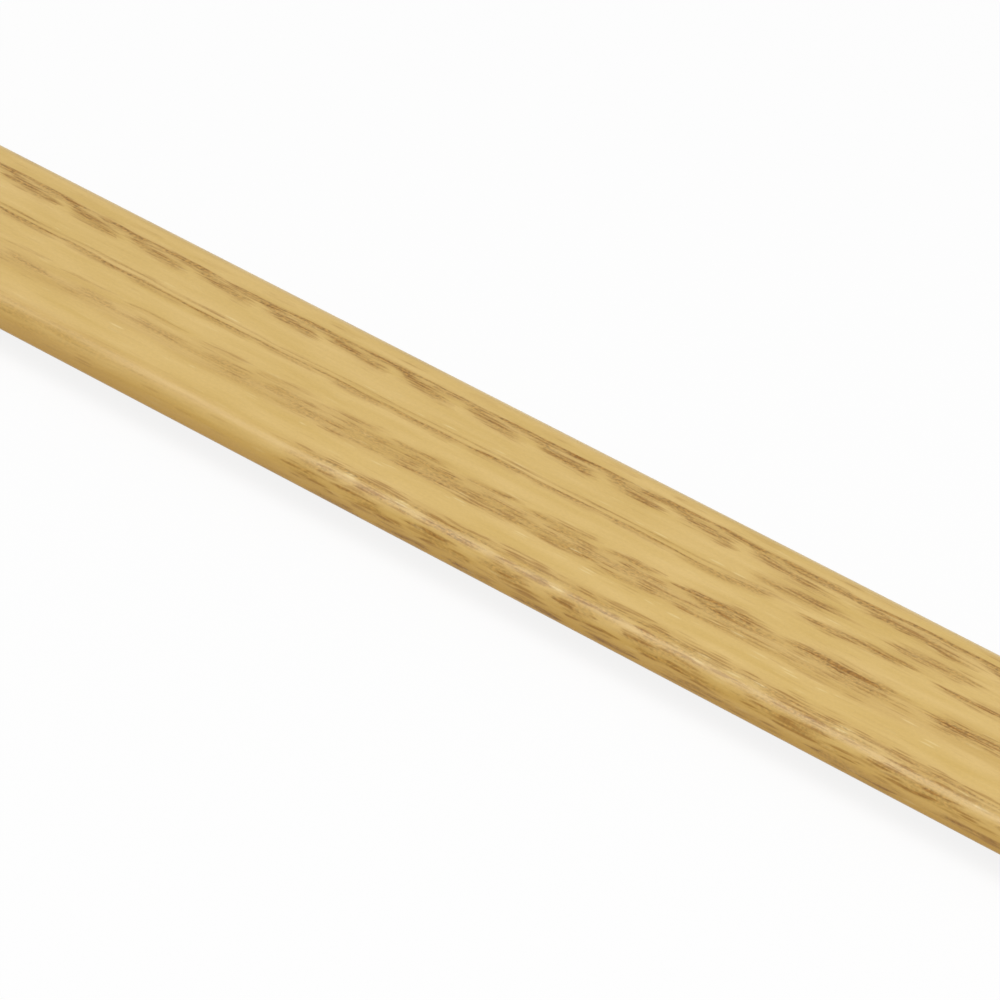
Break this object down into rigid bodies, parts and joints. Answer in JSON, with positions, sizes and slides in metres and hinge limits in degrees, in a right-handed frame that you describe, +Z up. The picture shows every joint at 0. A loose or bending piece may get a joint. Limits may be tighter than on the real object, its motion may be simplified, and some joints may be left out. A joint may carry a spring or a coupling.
{
  "type": "t-moulding",
  "caption": "Straight floor moulding of T section: crowned wood-effect face with rounded shoulders, two relieved wings, and a tongue below that hangs in the floor joint.",
  "frame": {"origin": "middle of the tongue's foot, on the surface that the moulding stands on", "axes": "+X along the length, +Y across the face, +Z up through the face"},
  "size_m": [0.9, 0.045, 0.012],
  "materials": {
    "oak_foil": "satin"
  },
  "bodies": {
    "root": {"t_moulding": "oak_foil"}
  },
  "joints": []
}
